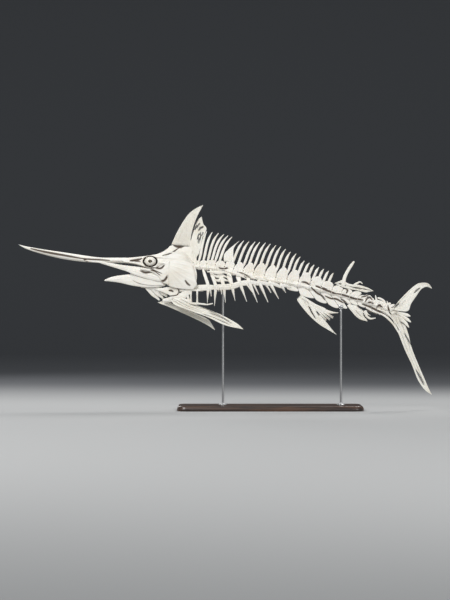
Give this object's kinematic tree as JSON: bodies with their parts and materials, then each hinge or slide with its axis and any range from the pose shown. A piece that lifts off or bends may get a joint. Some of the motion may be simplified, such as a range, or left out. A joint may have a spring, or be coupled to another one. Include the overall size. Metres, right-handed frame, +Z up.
{
  "type": "blue marlin skeleton on a display stand",
  "caption": "Life-size skeleton of a billfish held in a swimming pose over a flat base, with a long bill, hooked back fin, swept breast fins and a tall forked tail.",
  "frame": {"origin": "on the floor under the stand, half way between the tip of the bill and the tips of the tail, on the fish's middle plane", "axes": "+Z up; -X towards the bill and +X towards the tail; the fish's left side faces -Y"},
  "size_m": [3.312, 0.5, 1.6415],
  "materials": {
    "bone": "dry, bleached bone, satin",
    "fin_bone": "dry fin rays, satin",
    "eye_bone": "dense, smooth bone, satin",
    "dark_wood": "dark stain, satin lacquer",
    "steel": "brushed"
  },
  "bodies": {
    "root": {"skull_and_bill": "bone", "lower_jaw": "bone", "eye_cup_left": "eye_bone", "eye_cup_right": "eye_bone", "upper_jaw_left": "bone", "upper_jaw_right": "bone", "cheek_left": "bone", "cheek_right": "bone", "gill_cover_left": "bone", "gill_cover_right": "bone", "throat_left": "bone", "throat_right": "bone", "vertebra_01": "bone", "vertebra_02": "bone", "vertebra_03": "bone", "vertebra_04": "bone", "vertebra_05": "bone", "vertebra_06": "bone", "vertebra_07": "bone", "vertebra_08": "bone", "vertebra_09": "bone", "vertebra_10": "bone", "vertebra_11": "bone", "vertebra_12": "bone", "vertebra_13": "bone", "vertebra_14": "bone", "vertebra_15": "bone", "vertebra_16": "bone", "vertebra_17": "bone", "vertebra_18": "bone", "vertebra_19": "bone", "vertebra_20": "bone", "vertebra_21": "bone", "vertebra_22": "bone", "vertebra_23": "bone", "tail_plate": "bone", "shoulder_left": "bone", "shoulder_right": "bone", "pectoral_fin_left": "fin_bone", "pectoral_fin_right": "fin_bone", "pelvic_fin_left": "fin_bone", "pelvic_fin_right": "fin_bone", "dorsal_fin_lobe": "fin_bone", "dorsal_fin_second": "fin_bone", "anal_fin_first": "fin_bone", "anal_fin_second": "fin_bone", "tail_fin_upper": "fin_bone", "tail_fin_lower": "fin_bone", "tail_fin_fork_rays": "fin_bone", "stand_base": "dark_wood", "stand_rod_front": "steel", "stand_rod_rear": "steel"}
  },
  "joints": []
}
